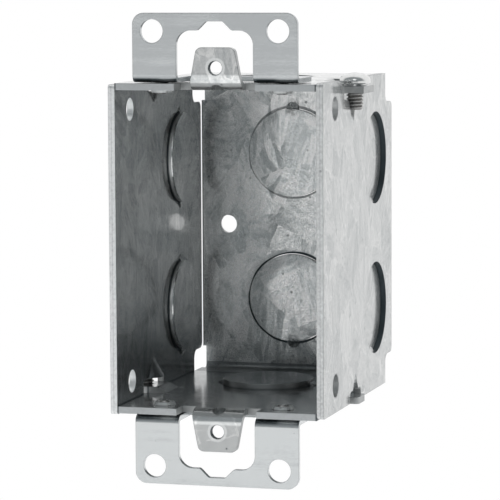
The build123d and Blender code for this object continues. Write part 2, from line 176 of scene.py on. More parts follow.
class BoxSettings(bpy.types.PropertyGroup):
    """Sizes and colours of the sheet-metal pieces"""

    sheet_dark: bpy.props.FloatVectorProperty(
        name="Sheet, dark grain", description="Zinc colour of the darkest crystals",
        subtype="COLOR", default=(0.37, 0.39, 0.395), min=0, max=1,
    )
    sheet_light: bpy.props.FloatVectorProperty(
        name="Sheet, light grain", description="Zinc colour of the lightest crystals",
        subtype="COLOR", default=(0.685, 0.692, 0.688), min=0, max=1,
    )
    ear_dark: bpy.props.FloatVectorProperty(
        name="Ear, dark grain", description="Colour of the dull streaks on the ears",
        subtype="COLOR", default=(0.525, 0.546, 0.555), min=0, max=1,
    )
    ear_light: bpy.props.FloatVectorProperty(
        name="Ear, light grain", description="Colour of the clean zinc on the ears",
        subtype="COLOR", default=(0.685, 0.708, 0.714), min=0, max=1,
    )
    cut_edge: bpy.props.FloatVectorProperty(
        name="Sheared edges", description="Colour of the bare steel of the edges",
        subtype="COLOR", default=(0.4, 0.41, 0.41), min=0, max=1,
    )
    front_edge: bpy.props.FloatVectorProperty(
        name="Front edges", description="Colour of the worn front edges",
        subtype="COLOR", default=(0.9, 0.91, 0.91), min=0, max=1,
    )
    panel_edge: bpy.props.FloatVectorProperty(
        name="Panel edges", description="Colour of the front edges of the top and the bottom",
        subtype="COLOR", default=(0.52, 0.54, 0.55), min=0, max=1,
    )
    # Painted highlights: colour of the coined rims, the collars, the nail-hole walls and the slugs' walls
    # and lips
    highlight_colour: bpy.props.FloatVectorProperty(
        name="Bright bores", description="Colour of the coined rims and of the walls of the nail holes",
        subtype="COLOR", default=(0.85, 0.87, 0.87), min=0, max=1,
    )
    # Colour of the dirty gaps, and of the shade painted into slits, seams, edges and low parts
    grime_and_shade: bpy.props.FloatVectorProperty(
        name="Grime", description="Colour of the gaps and the dirt in them",
        subtype="COLOR", default=(0.055, 0.07, 0.078), min=0, max=1,
    )
    spangle: bpy.props.FloatProperty(
        name="Spangle", description="Typical width of a zinc crystal",
        unit="LENGTH", default=8 * MM, min=MM,
    )
    crystal_lean: bpy.props.FloatProperty(
        name="Crystal lean", description="How far the faces of the crystals lean",
        default=0.045, min=0, max=1,
    )
    barb: bpy.props.FloatProperty(
        name="Barb", description="Width of the barbs of a feathered crystal",
        unit="LENGTH", default=2.4 * MM, min=0.1 * MM,
    )
    barb_lean: bpy.props.FloatProperty(
        name="Barb lean", description="How far the barbs lean",
        default=0.045, min=0, max=1,
    )
    haze: bpy.props.FloatProperty(
        name="Haze", description="How much rougher the dull specks of the zinc are",
        default=0.4, min=0, max=1,
    )
    edge_radius: bpy.props.FloatProperty(
        name="Edge rounding", description="Rounding of the sheared edges",
        unit="LENGTH", default=0.22 * MM, min=0,
    )


class ScrewSettings(bpy.types.PropertyGroup):
    """Sizes and colours of the screws"""

    plating: bpy.props.FloatVectorProperty(
        name="Plating", description="Colour of the zinc plating",
        subtype="COLOR", default=(0.78, 0.785, 0.78), min=0, max=1,
    )
    # Painted shade: colour that the shanks are darkened towards
    thread: bpy.props.FloatVectorProperty(
        name="Thread", description="Colour of the threads",
        subtype="COLOR", default=(0.4, 0.395, 0.38), min=0, max=1,
    )
    # Painted shade in the roots of the thread
    oil: bpy.props.FloatVectorProperty(
        name="Oil", description="Colour of the oil in the roots of the threads",
        subtype="COLOR", default=(0.08, 0.075, 0.07), min=0, max=1,
    )
    pitch: bpy.props.FloatProperty(
        name="Thread pitch", description="Advance of the thread in one turn",
        unit="LENGTH", default=0.794 * MM, min=0.1 * MM,
    )
    thread_depth: bpy.props.FloatProperty(
        name="Thread depth", description="Height of the thread from root to crest",
        unit="LENGTH", default=0.42 * MM, min=0,
    )
    side_shank: bpy.props.FloatProperty(
        name="Side screw radius", description="Crest radius of the side screws",
        unit="LENGTH", default=2.06 * MM, min=MM,
    )
    side_head: bpy.props.FloatProperty(
        name="Side screw head", description="Height of a side screw's head",
        unit="LENGTH", default=3.0 * MM, min=MM,
    )
    ear_shank: bpy.props.FloatProperty(
        name="Ear screw radius", description="Crest radius of the ear screws",
        unit="LENGTH", default=1.73 * MM, min=MM,
    )
    ear_head: bpy.props.FloatProperty(
        name="Ear screw head", description="Height of an ear screw's head",
        unit="LENGTH", default=2.1 * MM, min=MM,
    )
    device_hole: bpy.props.FloatProperty(
        name="Device hole radius", description="Bore of the tapped device holes",
        unit="LENGTH", default=1.65 * MM, min=MM,
    )


class StageSettings(bpy.types.PropertyGroup):
    """Floor, light and camera"""

    floor_colour: bpy.props.FloatVectorProperty(
        name="Floor", description="Colour of the floor",
        subtype="COLOR", default=(0.93, 0.93, 0.93), min=0, max=1,
    )
    floor_radius: bpy.props.FloatProperty(
        name="Floor radius", description="Radius of the floor",
        unit="LENGTH", default=0.75, min=0,
    )
    floor_drop: bpy.props.FloatProperty(
        name="Floor drop", description="Floor below the lowest point of the box",
        unit="LENGTH", default=0.16, min=0,
    )
    room_dark: bpy.props.FloatVectorProperty(
        name="Room behind the camera", description="Colour of the unlit side of the room",
        subtype="COLOR", default=(0.2, 0.22, 0.23), min=0, max=1,
    )
    softbox: bpy.props.FloatProperty(
        name="Softbox", description="Power of the light overhead in watts",
        default=7.0, min=0,
    )
    softbox_height: bpy.props.FloatProperty(
        name="Softbox height", description="Overhead light above the box",
        unit="LENGTH", default=1.0, min=0,
    )
    key: bpy.props.FloatProperty(
        name="Key light", description="Power of the key light in watts",
        default=0.7, min=0,
    )
    key_place: bpy.props.FloatVectorProperty(
        name="Key light place", description="Where the key light hangs",
        subtype="XYZ", unit="LENGTH", default=(0.2, -0.92, 0.55),
    )
    yaw: bpy.props.FloatProperty(
        name="Camera turn", description="Camera to the right of straight ahead",
        unit="ROTATION", default=math.radians(15.98),
    )
    pitch: bpy.props.FloatProperty(
        name="Camera tilt", description="Camera tilted down",
        unit="ROTATION", default=math.radians(5.66),
    )
    roll: bpy.props.FloatProperty(
        name="Camera roll", description="Camera rolled",
        unit="ROTATION", default=math.radians(-0.28),
    )
    distance: bpy.props.FloatProperty(
        name="Camera distance", description="Camera to the point that it looks at",
        unit="LENGTH", default=653.14 * MM,
    )
    target: bpy.props.FloatVectorProperty(
        name="Camera target", description="Point that the camera looks at",
        subtype="XYZ", unit="LENGTH", default=(8.033 * MM, 0, 0.45 * MM),
    )
    lens: bpy.props.FloatProperty(
        name="Lens", description="Focal length in millimetres",
        default=207.13, min=1,
    )


class Value:
    """A number socket: arithmetic on it adds Math nodes."""

    def __init__(self, finish, socket):
        self.finish = finish
        self.socket = socket

    def _math(self, operation, *operands):
        sockets = dict(enumerate(operands))
        return self.finish.node("ShaderNodeMath", {"operation": operation}, sockets)

    def __add__(self, other):
        return self._math("ADD", self, other)

    def __radd__(self, other):
        return self._math("ADD", other, self)

    def __sub__(self, other):
        return self._math("SUBTRACT", self, other)

    def __rsub__(self, other):
        return self._math("SUBTRACT", other, self)

    def __mul__(self, other):
        return self._math("MULTIPLY", self, other)

    def __rmul__(self, other):
        return self._math("MULTIPLY", other, self)

    def __neg__(self):
        return self._math("MULTIPLY", self, -1.0)

    def __abs__(self):
        return self._math("ABSOLUTE", self)

    def __gt__(self, other):
        return self._math("GREATER_THAN", self, other)

    def __lt__(self, other):
        return self._math("LESS_THAN", self, other)


class Finish:
    """A node tree under construction, of a material or of the world."""

    def __init__(self, owner):
        self.owner = owner
        owner.use_nodes = True
        self.tree = owner.node_tree
        self.tree.nodes.clear()

    def node(self, kind, settings=None, sockets=None, out=0):
        """Adds a node, sets its settings, fills its sockets and gives one of its outputs."""
        made = self.tree.nodes.new(kind)
        for key, value in (settings or {}).items():
            setattr(made, key, value)
        for key, value in (sockets or {}).items():
            self._fill(self._socket(made.inputs, key), value)
        return Value(self, self._socket(made.outputs, out)) if made.outputs else made

    def sibling(self, value, out):
        """Another output of the node that gave a value."""
        return Value(self, self._socket(value.socket.node.outputs, out))

    def smooth(self, value, low, high):
        """0 below low, 1 above high, with a soft step between."""
        return self.node(
            "ShaderNodeMapRange",
            {"interpolation_type": "SMOOTHSTEP"},
            {"Value": value, "From Min": low, "From Max": high},
        )

    def band(self, value, inner, outer, soft):
        """1 between two values, with soft sides."""
        return self.smooth(value, inner - soft, inner) * (1 - self.smooth(value, outer, outer + soft))

    def noise(self, place, scale, detail=2.0, roughness=0.5, out=0):
        """A noise value about one half, or a colour of three."""
        sockets = {"Vector": place, "Scale": scale, "Detail": detail, "Roughness": roughness}
        return self.node("ShaderNodeTexNoise", {}, sockets, out)

    def cells(self, place, scale, out, feature="F1"):
        """An output of the cells that fill a space."""
        sockets = {"Vector": place, "Scale": scale}
        return self.node("ShaderNodeTexVoronoi", {"feature": feature}, sockets, out)

    def channel(self, colour, name):
        """One channel of a colour."""
        return self.node("ShaderNodeSeparateColor", {}, {"Color": colour}, name)

    def vector(self, operation, first, second=(0, 0, 0), out=0):
        """A vector, or a number, from one or two vectors."""
        return self.node("ShaderNodeVectorMath", {"operation": operation}, {0: first, 1: second}, out)

    def stretch(self, place, factors):
        """The place with each axis multiplied."""
        return self.vector("MULTIPLY", place, factors)

    def scale(self, vector, factor):
        """A vector made longer or shorter."""
        return self.node("ShaderNodeVectorMath", {"operation": "SCALE"}, {0: vector, "Scale": factor})

    def lean(self, colour, amount):
        """A random colour as a small tilt either way."""
        return self.scale(self.vector("SUBTRACT", colour, (0.5, 0.5, 0.5)), amount)

    def length(self, vector):
        """The length of a vector."""
        return self.vector("LENGTH", vector, out="Value")

    def dot(self, first, second):
        """The dot product of two vectors."""
        return self.vector("DOT_PRODUCT", first, second, "Value")

    def distance(self, place, centre, axes):
        """How far a place lies from a centre, along the axes that are 1."""
        return self.length(self.stretch(self.vector("SUBTRACT", place, centre), axes))

    def axes(self, vector):
        """The three numbers of a vector."""
        first = self.node("ShaderNodeSeparateXYZ", {}, {0: vector}, "X")
        return first, self.sibling(first, "Y"), self.sibling(first, "Z")

    def joined(self, **numbers):
        """A vector from some of its three numbers."""
        return self.node("ShaderNodeCombineXYZ", {}, numbers)

    def sign(self, value):
        """-1 below zero and 1 above it."""
        return self.node("ShaderNodeMath", {"operation": "SIGN"}, {0: value})

    def largest(self, first, *others):
        """The largest of some numbers."""
        for other in others:
            first = self.node("ShaderNodeMath", {"operation": "MAXIMUM"}, {0: first, 1: other})
        return first

    def mix(self, factor, first, second):
        """A colour between two colours."""
        return self.node(
            "ShaderNodeMix",
            {"data_type": "RGBA", "clamp_factor": True},
            {"Factor_Float": factor, "A_Color": first, "B_Color": second},
            "Result_Color",
        )

    def rounded_edges(self, radius):
        """Normals that round the edges off, and how far they turn from the face."""
        rounded = self.node("ShaderNodeBevel", {"samples": 6}, {"Radius": radius})
        flat = self.node("ShaderNodeNewGeometry", {}, {}, "Normal")
        return rounded, 1 - self.dot(rounded, flat)

    def bump(self, height, strength, distance, **normal):
        """A normal that follows a height."""
        sockets = {"Strength": strength, "Distance": distance, "Height": height}
        return self.node("ShaderNodeBump", {}, sockets | normal)

    def metal(self, colour, roughness, normal):
        """Ends the material in a metal surface."""
        sockets = {"Base Color": colour, "Metallic": 0.8, "Roughness": roughness, "Normal": normal}
        surface = self.node("ShaderNodeBsdfPrincipled", {}, sockets)
        self.node("ShaderNodeOutputMaterial", {}, {"Surface": surface})
        return self.owner

    def _socket(self, sockets, key):
        """A socket by its number, its identifier or its name."""
        if isinstance(key, int):
            return sockets[key]
        for socket in sockets:
            if socket.identifier == key:
                return socket
        return sockets[key]

    def _fill(self, socket, value):
        """Links a value to a socket, or sets the socket's own value."""
        if isinstance(value, Value):
            self.tree.links.new(value.socket, socket)
        elif socket.type == "RGBA" and len(value) == 3:
            socket.default_value = (*value, 1.0)
        else:
            socket.default_value = value


def body_marks(finish, place, facing):
    """Masks of the folded strip, named for what they do to its finish."""
    across, along, _ = finish.axes(facing)
    width, depth, height = finish.axes(place)
    folded = finish.vector("ABSOLUTE", place)
    end = finish.sign(height)
    below = height < 0
    bottom = height < -JOGGLE_LOW
    tab = abs(height) > PANEL_OUTER

    # Sheared edges of the panels, and the back
    in_panel = (abs(height) > JOGGLE_LOW) * (abs(height) < PANEL_OUTER) * (depth < BACK_INNER)
    cut = finish.largest(abs(across) > STEEP, in_panel * (abs(along) > STEEP))
    in_back = (depth > BACK_ZONE) * (1 - finish.smooth(abs(height), PANEL_INNER, PANEL_OUTER))
    inner_back = in_back * (along < 0.3)

    # Knockouts with a dished rim, which the lower slug has on one side only
    outward = finish.joined(X=width, Z=height - KO_HEIGHT * end)
    back = finish.length(outward)
    shaded = finish.dot(outward, DISHED_SIDE)
    one_sided = 1 - below + below * finish.smooth(shaded, -0.15 * KO_RADIUS, 0.6 * KO_RADIUS)
    rim = KO_RADIUS - 0.2 * MM
    upper_dish = (1 - below) * finish.band(back, KO_RADIUS - 1.6 * MM, rim, 0.5 * MM)
    lower_dish = below * finish.band(back, KO_RADIUS - 2.4 * MM, rim, 2.4 * MM)
    dish = in_back * one_sided * (upper_dish + lower_dish)
    panel = finish.distance(place, (0, KO_PANEL, 0), (1, 1, 0))
    # How far a slug lies sunk, which sets the painted shade in its slit
    sunk_back = in_back * finish.smooth(depth, BACK_FACE - SUNK_FADE, BACK_FACE)
    sunk_panel = (1 - in_back) * finish.smooth(abs(height), PANEL_FACE - SUNK_FADE, PANEL_FACE)
    tie = finish.distance(folded, (0, 0, KO_HEIGHT + KO_RADIUS), (1, 0, 1))

    # Painted shade in the seams beside the plates, in the tapped holes and in the middle hole of the back;
    # painted highlights on the coined rims and the collars, and on the folds of the device tabs
    seam_shade = finish.band(abs(width), PLATE_INNER - 0.15 * MM, PLATE_INNER, 0.35 * MM)
    hole = finish.distance(folded, (0, 0, DEVICE_HEIGHT), (1, 0, 1))
    coin = 0.45 * finish.band(hole, 0.5 * MM, 2.2 * MM, 0.25 * MM) * (depth < BACK_ZONE)
    tapped = (hole < TAPPED_RADIUS) * (depth < BACK_ZONE)
    axis = finish.distance(folded, (EAR_SCREW_WIDTH, EAR_SCREW_DEPTH, 0), (1, 1, 0))
    collar = (axis < COLLAR_RADIUS) * (abs(height) < PANEL_INNER)
    bored = 0.8 * in_back * (abs(along) < 0.5) * (abs(height) < MIDDLE_HOLE)
    fold_highlight = finish.band(abs(height), PANEL_OUTER + 0.3 * MM, PANEL_OUTER + 1.6 * MM, 0.5 * MM)
    fold_highlight = fold_highlight * (depth < 2 * MM)

    # Painted shade: darker towards the back of the bottom, at the foot and the sides of the back, and on
    # the joggles; and lighter bands beside the middle of the back
    low = 0.75 * finish.smooth(depth, 5 * MM, 50 * MM) * bottom
    foot = 0.4 * in_back * finish.smooth(-height, 25 * MM, PANEL_INNER)
    side = 0.3 * in_back * finish.smooth(abs(width), 15 * MM, PLATE_INNER)
    joggle = 0.65 * in_panel * finish.smooth(abs(across), 0.08, 0.25) * (1 - cut)
    lighter_band = finish.band(abs(width), 8 * MM, 14 * MM, 4 * MM) * (back > KO_RADIUS)
    return {
        "cut": cut,
        "slug": in_back * back + (1 - in_back) * panel,
        "sunk": finish.largest(sunk_back, sunk_panel) * (1 - 0.5 * bottom) * (0.7 + 0.3 * below),
        "seam_shade": finish.largest(seam_shade, tapped, bored),
        "painted_highlight": finish.largest(coin * (1 - tapped), 0.7 * collar),
        "lip": coin,
        "smear": in_back * (1 - finish.smooth(tie, 0.8 * MM, 2.8 * MM)),
        "edge": 0.1,
        "polish": 1.0,
        "streaks": 0.7,
        "lean": 0.1 + 0.65 * in_back,
        "painted_shade": finish.largest(low, foot, side, joggle),
        # Painted light: the inner back and its slugs lighter, with lighter bands beside its middle, a
        # painted highlight on the folds of the device tabs, and the tabs darker
        "painted_light": inner_back * (1.15 + 0.55 * (back < KO_RADIUS) + 0.7 * lighter_band) + 1.1 * fold_highlight - 0.15 * tab,
        "contrast": 1.1 - 0.45 * tab - 0.5 * bottom,
        "haze": 0.1 + 1.1 * in_back + 1.4 * collar,
        "roll": finish.scale(outward, (0.085 - 0.045 * end) * dish * (1 / KO_RADIUS)),
    }


def plate_marks(finish, place, facing):
    """Masks of a side plate, named for what they do to its finish."""
    across, _, _ = finish.axes(facing)
    width, depth, height = finish.axes(place)
    side = finish.sign(width)
    left = width < 0
    inside = across * side < -0.5
    outside = across * side > 0.5
    cut = abs(across) < 0.3
    lifted = height - PLATE_LIFT * side

    # Knockouts: painted shade in the slit, sheared wall and rolled lip
    slug = finish.length(finish.joined(Y=depth - KO_PLATE, Z=abs(lifted) - KO_HEIGHT))
    sunk = finish.smooth(abs(width), PLATE_INNER - SUNK_FADE, PLATE_INNER)
    wall = cut * (abs(slug - KO_RADIUS) < 0.3 * MM) * (abs(width) < PLATE_INNER - 0.4 * MM)
    lip = wall * (abs(width) < PLATE_INNER - 0.95 * MM)

    # Painted shade in the seams beside the panels and the back, a dark ring round the nail holes on the
    # outside, and on the torn front edges a dark fracture line with painted shade along their outer corner
    joint = finish.largest(
        finish.smooth(abs(height), PANEL_INNER - 0.4 * MM, PANEL_INNER),
        finish.smooth(depth, PLATE_END - 0.6 * MM, PLATE_END),
    )
    nail = finish.length(finish.joined(Y=depth - NAIL_DEPTH, Z=abs(lifted) - NAIL_HEIGHT))
    hole = cut * (nail < NAIL_RADIUS)
    rim = 0.6 * outside * finish.band(nail, 0, NAIL_RADIUS, 0.15 * MM)
    torn = 0.22 * finish.band(abs(width), FRACTURE, FRACTURE + 0.08 * MM, 0.12 * MM)
    torn = finish.largest(torn, 0.3 * finish.smooth(abs(width), PLATE_OUTER - 0.2 * MM, PLATE_OUTER))

    # The dent under the side screw, painted lighter, and the lower inside, which gets painted shade
    axis = finish.length(finish.joined(X=abs(width) - SCREW_WIDTH, Y=depth - SCREW_DEPTH))
    dent = (axis < DENT_RADIUS) * (across * side > 0) * (abs(width) < PLATE_OUTER - 0.1 * MM)
    low = inside * finish.smooth(-height, 2 * MM, 30 * MM)
    return {
        "cut": cut,
        "slug": slug,
        "sunk": sunk * (abs(width) < PLATE_OUTER - 0.05 * MM),
        "seam_shade": finish.largest(inside * joint, rim, torn * (depth < FRONT_ZONE)),
        # Painted highlights on the nail-hole walls, strongest on the left plate, which is seen from inside,
        # and on the slugs' walls and lips
        "painted_highlight": finish.largest(hole * (0.2 + 0.8 * left), 0.35 * wall + 0.3 * lip),
        "lip": lip,
        "smear": 0.0,
        # The left plate's front edge is made lighter than the right plate's
        "edge": -0.15 + 0.3 * left,
        "polish": 0.6,
        "streaks": 0.7 * inside,
        "lean": 0.3,
        "painted_shade": 0.4 * low,
        # Painted light: the dent lighter, most below the screw tip; the inside painted darker than the
        # outside, and the outside a little darker
        "painted_light": dent * (0.4 + 0.7 * (abs(height) < SCREW_TIP)) - 0.42 * inside - 0.13 * outside,
        "contrast": 0.58 + 0.42 * inside,
        "haze": 0.55 + 1.2 * dent,
        "roll": finish.joined(X=(-0.2 * wall - 0.35 * lip) * side),
    }


def galvanised_sheet(settings, name, marks_of, edge_colour):
    """Hot-dip zinc with feathered crystals, pits, handling marks, dull sheared edges and knockout rims,
    with painted light, shade and highlights.
    """
    finish = Finish(bpy.data.materials.new(name))
    place = finish.node("ShaderNodeTexCoord", {}, {}, "Object")
    marks = marks_of(finish, place, finish.sibling(place, "Normal"))
    cut = marks["cut"]

    # Crystals with wavy borders, each filled with barbs that lie its own way
    drift = finish.lean(finish.noise(place, DRIFT, 3.0, out="Color"), 0.25 * settings.spangle)
    leaf = finish.stretch(finish.vector("ADD", place, drift), (1.0, 1.0, 0.6))
    crystal = finish.cells(leaf, 1 / settings.spangle, "Color")
    border = finish.cells(leaf, 1 / settings.spangle, "Distance", "DISTANCE_TO_EDGE")
    tone = finish.channel(crystal, "Red")
    gloss = finish.sibling(tone, "Green")
    turn = {"Vector": leaf, "Rotation": finish.scale(crystal, 2 * math.pi)}
    turned = finish.node("ShaderNodeVectorRotate", {"rotation_type": "EULER_XYZ"}, turn)
    barbs = finish.stretch(turned, (1.0, 0.2, 0.2))
    shard = finish.cells(barbs, 1 / settings.barb, "Color")
    shard_tone = finish.channel(shard, "Red")
    feather = finish.noise(barbs, FEATHER, 3.0, 0.6)
    vein = (1 - finish.smooth(border, 0.0, 0.035)) * finish.smooth(feather, 0.4, 0.6)

    # Grain, rolling streaks, pits, scratches and dull specks
    grain = finish.noise(place, GRAIN, 4.0, 0.7)
    cloud = finish.noise(place, CLOUD, 3.0, 0.6)
    streak = finish.noise(finish.stretch(place, (1.0, 1.0, 0.1)), STREAK, 3.0, 0.6)
    speck = finish.cells(place, SPECK, "Distance")
    chosen = finish.channel(finish.sibling(speck, "Color"), "Blue") > 0.8
    pits = chosen * (1 - finish.smooth(speck, 0.08, 0.17))
    rub = abs(finish.noise(finish.stretch(place, (1.0, 0.3, 0.06)), RUB, 1.0) - 0.5) < 0.004
    scuff = abs(finish.noise(finish.stretch(place, (0.1, 0.12, 1.0)), SCUFF, 1.0) - 0.47) < 0.003
    scratches = finish.smooth(cloud, 0.5, 0.62) * (rub + scuff)
    haze = finish.smooth(finish.noise(place, HAZE, 1.0), 0.44, 0.56)

    # Worn front edges, painted shade in the knockout slits, along edges and in seams and bores, and dirty
    # smears and pits
    worn = cut * (finish.axes(place)[1] < FRONT_ZONE)
    # Painted shade in the slit round each knockout, with a ragged outer edge
    ragged = KO_RADIUS + 0.25 * MM + 0.4 * MM * finish.smooth(cloud, 0.35, 0.65)
    slit_shade = finish.band(marks["slug"], KO_RADIUS - 0.15 * MM, ragged, 0.15 * MM) * marks["sunk"]
    rounded, bend = finish.rounded_edges(settings.edge_radius)
    # Painted shade along the edges and in creases, kept off the worn front edges
    corner = 0.5 * finish.smooth(bend, 0.02, 0.25) * (1 - worn)
    smear = marks["smear"] * finish.smooth(grain, 0.3, 0.6) * 0.8
    dirt_and_shade = finish.largest(corner, 0.9 * marks["seam_shade"], smear, 0.4 * pits)

    # Colour: the patterns add up about their mean; painted light and shade, bare edges, painted highlights
    # on bores and rims, painted shade in slits and on edges, and dirty smears and pits lie over them
    mean = 2.725
    varied = 0.35 * tone + 0.6 * shard_tone + 2.2 * feather + 0.7 * cloud + 1.6 * grain - mean
    varied = varied + marks["streaks"] * (streak - 0.5) + (0.7 - marks["streaks"]) * 2.0 * (grain - 0.5)
    light = 0.5 + marks["contrast"] * varied + 0.5 * scratches + 0.5 * vein - 0.6 * pits
    colour = finish.mix(light, settings.sheet_dark, settings.sheet_light)
    # Painted light and painted shade by zone
    colour = finish.scale(colour, 1 + 0.45 * marks["painted_light"])
    colour = finish.mix(marks["painted_shade"], colour, settings.grime_and_shade)
    colour = finish.mix(0.8 * cut, colour, settings.cut_edge)
    front = finish.mix(1.6 * grain + marks["edge"], settings.cut_edge, edge_colour)
    colour = finish.mix(worn, colour, front)
    # Painted highlights on the bores, the coined rims, the collars and the slugs' lips
    colour = finish.mix(marks["painted_highlight"], colour, settings.highlight_colour)
    # Painted shade in the slits, along the edges and in seams and bores, with dirty smears and pits
    colour = finish.mix(finish.largest(slit_shade, dirt_and_shade), colour, settings.grime_and_shade)
    dull = (settings.haze * marks["haze"] * haze + 0.25 * cut) * (1 - marks["lip"])
    roughness = marks["polish"] * (0.08 + 0.06 * gloss + 0.05 * shard_tone) + dull + 0.1 * pits

    # Relief, and the lean of each crystal and barb
    shear = finish.noise(place, SHEAR, 3.0, 0.7)
    height = 0.2 * feather + 0.15 * grain + 0.3 * cloud - 0.5 * pits
    height = height - 0.2 * scratches + 0.3 * vein + 0.9 * cut * shear
    facets = finish.lean(crystal, settings.crystal_lean)
    facets = finish.vector("ADD", facets, finish.lean(shard, settings.barb_lean))
    tipped = finish.vector("ADD", rounded, finish.scale(facets, marks["lean"]))
    tipped = finish.vector("NORMALIZE", finish.vector("ADD", tipped, marks["roll"]))
    return finish.metal(colour, roughness, finish.bump(height, 0.25, 0.06 * MM, Normal=tipped))


def ear_sheet(settings):
    """Thin zinc-coated strip with a fine grain and faint rolling bands, painted shade on the faces that
    turn towards the box and along the edges, and painted light on the bottom ear.
    """
    finish = Finish(bpy.data.materials.new("ear_sheet"))
    place = finish.node("ShaderNodeTexCoord", {}, {}, "Object")
    up = finish.axes(place)[2]
    bands = finish.noise(finish.stretch(place, (0.07, 1.0, 1.0)), EAR_BAND, 3.0, 0.6)
    fine = finish.noise(finish.stretch(place, (0.3, 1.0, 1.0)), EAR_GRAIN, 2.0, 0.6)
    cloud = finish.noise(place, EAR_CLOUD, 3.0, 0.55)
    pits = finish.smooth(finish.noise(place, EAR_PIT, 2.0, 0.6), 0.74, 0.8)
    # Painted light: the bottom ear is made lighter than the top ear
    low = finish.smooth(-up, -40 * MM, 40 * MM)
    light = 2.2 * bands + 1.8 * cloud + 1.4 * fine - 2.7 - 0.6 * pits + low
    colour = finish.mix(light, settings.ear_dark, settings.ear_light)
    roughness = 0.12 + 0.1 * fine + 0.06 * cloud + 0.1 * pits
    # Painted shade, broken into patches, on the faces that turn towards the box
    facing_up = finish.axes(finish.sibling(place, "Normal"))[2]
    under = finish.smooth(-facing_up * finish.sign(up), 0.2, 0.6)
    patches = finish.noise(finish.stretch(place, (1, 0, 0)), EAR_PATCH, 1.0)
    broken = 0.45 + 0.5 * finish.smooth(patches, 0.4, 0.55)
    colour = finish.mix(broken * under, colour, settings.grime_and_shade)
    rounded, bend = finish.rounded_edges(settings.edge_radius)
    # Painted shade along the edges
    colour = finish.mix(0.4 * finish.smooth(bend, 0.02, 0.2), colour, settings.grime_and_shade)
    height = 0.4 * fine + 0.3 * bands - 0.5 * pits
    return finish.metal(colour, roughness, finish.bump(height, 0.25, 0.04 * MM, Normal=rounded))


def screw_plating(settings):
    """Zinc plating: pale heads, threads darkened as painted shade, painted shade in the thread roots,
    turning lines and dull spots.
    """
    finish = Finish(bpy.data.materials.new("screw_plating"))
    place = finish.node("ShaderNodeTexCoord", {}, {}, "Object")
    width, depth, height = finish.axes(finish.vector("ABSOLUTE", place))
    on_side = width > (SCREW_WIDTH + EAR_SCREW_WIDTH) / 2
    seat = EAR_SCREW_SEAT + (SCREW_SEAT - EAR_SCREW_SEAT) * on_side
    from_x = width - EAR_SCREW_WIDTH - (SCREW_WIDTH - EAR_SCREW_WIDTH) * on_side
    from_y = depth - EAR_SCREW_DEPTH - (SCREW_DEPTH - EAR_SCREW_DEPTH) * on_side
    radius = finish.length(finish.joined(X=from_x, Y=from_y))
    crest = settings.ear_shank + (settings.side_shank - settings.ear_shank) * on_side
    shank = finish.smooth(seat - height, -0.05 * MM, 0.15 * MM)
    raised = finish.smooth(radius - crest, -settings.thread_depth, -0.1 * settings.thread_depth)
    root = shank * (1 - raised)
    dull = finish.smooth(finish.noise(place, DULL_SPOT, 3.0, 0.6), 0.5, 0.75)
    fine = finish.noise(finish.stretch(place, (1.0, 1.0, 5.0)), TURNING_LINE, 2.0, 0.6)
    dulled = tuple(0.72 * share for share in settings.plating)
    colour = finish.mix(0.4 * dull + 0.2 * fine, settings.plating, dulled)
    # Painted shade: the shanks darker, most on the side screws
    colour = finish.mix((0.2 + 0.4 * on_side) * shank, colour, settings.thread)
    # Painted shade in the roots of the thread, deepest on the side screws
    colour = finish.mix((0.4 + 0.4 * on_side) * root, colour, settings.oil)
    roughness = 0.06 + 0.1 * dull + 0.05 * fine + 0.14 * shank
    return finish.metal(colour, roughness, finish.bump(fine, 0.1, 0.03 * MM))


def dress(nodes, material):
    """Gives CAD nodes a finish."""
    for name in nodes:
        mesh = frame["nodes"][name].data
        mesh.materials.clear()
        mesh.materials.append(material)


def round_angles(steps):
    """Even angles round a circle."""
    return [2 * math.pi * k / steps for k in range(steps)]


def as_mesh(form, name):
    """Turns a finished form into a mesh with its faces turned outwards."""
    bmesh.ops.recalc_face_normals(form, faces=form.faces)
    mesh = bpy.data.meshes.new(name)
    form.to_mesh(mesh)
    form.free()
    return mesh


def lathe(form, profile, steps):
    """Turns a list of (radius, height) about Z, with a point where the radius is zero."""
    rings = []
    for radius, height in profile:
        spots = [(radius * math.cos(a), radius * math.sin(a), height) for a in round_angles(steps)]
        rings.append([form.verts.new(spot) for spot in (spots if radius else [(0, 0, height)])])
    for low, high in zip(rings, rings[1:]):
        for k in range(steps):
            corners = [low[k % len(low)], low[(k + 1) % len(low)]]
            corners += [high[(k + 1) % len(high)], high[k % len(high)]]
            form.faces.new(list(dict.fromkeys(corners)))


def thread_profile(phase):
    """Share of the thread depth at a place along one pitch: flat root, slopes and flat crest."""
    crest, root = 0.14, 0.2
    slope = (1 - crest - root) / 2
    if phase < root:
        return 0.0
    if phase < root + slope:
        return (phase - root) / slope
    if phase < root + slope + crest:
        return 1.0
    return (1 - phase) / slope


def thread_share(along, angle, pitch):
    """Share of the depth of a right-hand thread at a place along its axis and an angle."""
    return thread_profile((along / pitch - angle / (2 * math.pi)) % 1.0)


def threaded_shank(crest, depth, top, length, pitch, steps=56, rows_per_pitch=16):
    """A shank from a little way inside the head down to its tip, with a run-out and a chamfered point."""
    rows = max(2, round(length / pitch * rows_per_pitch))
    point = 0.6 * MM
    form = bmesh.new()
    rings = []
    for height in [top] + [-length * row / rows for row in range(rows + 1)]:
        cut = max(0.0, min(1.0, -height / pitch))
        limit = crest - max(0.0, point - (length + height))
        ring = []
        for angle in round_angles(steps):
            radius = min(crest - cut * depth * (1 - thread_share(height, angle, pitch)), limit)
            ring.append(form.verts.new((radius * math.cos(angle), radius * math.sin(angle), height)))
        rings.append(ring)
    for high, low in zip(rings, rings[1:]):
        for k in range(steps):
            form.faces.new((high[k], low[k], low[(k + 1) % steps], high[(k + 1) % steps]))
    form.faces.new(rings[-1][::-1])
    form.faces.new(rings[0])
    return as_mesh(form, "shank")


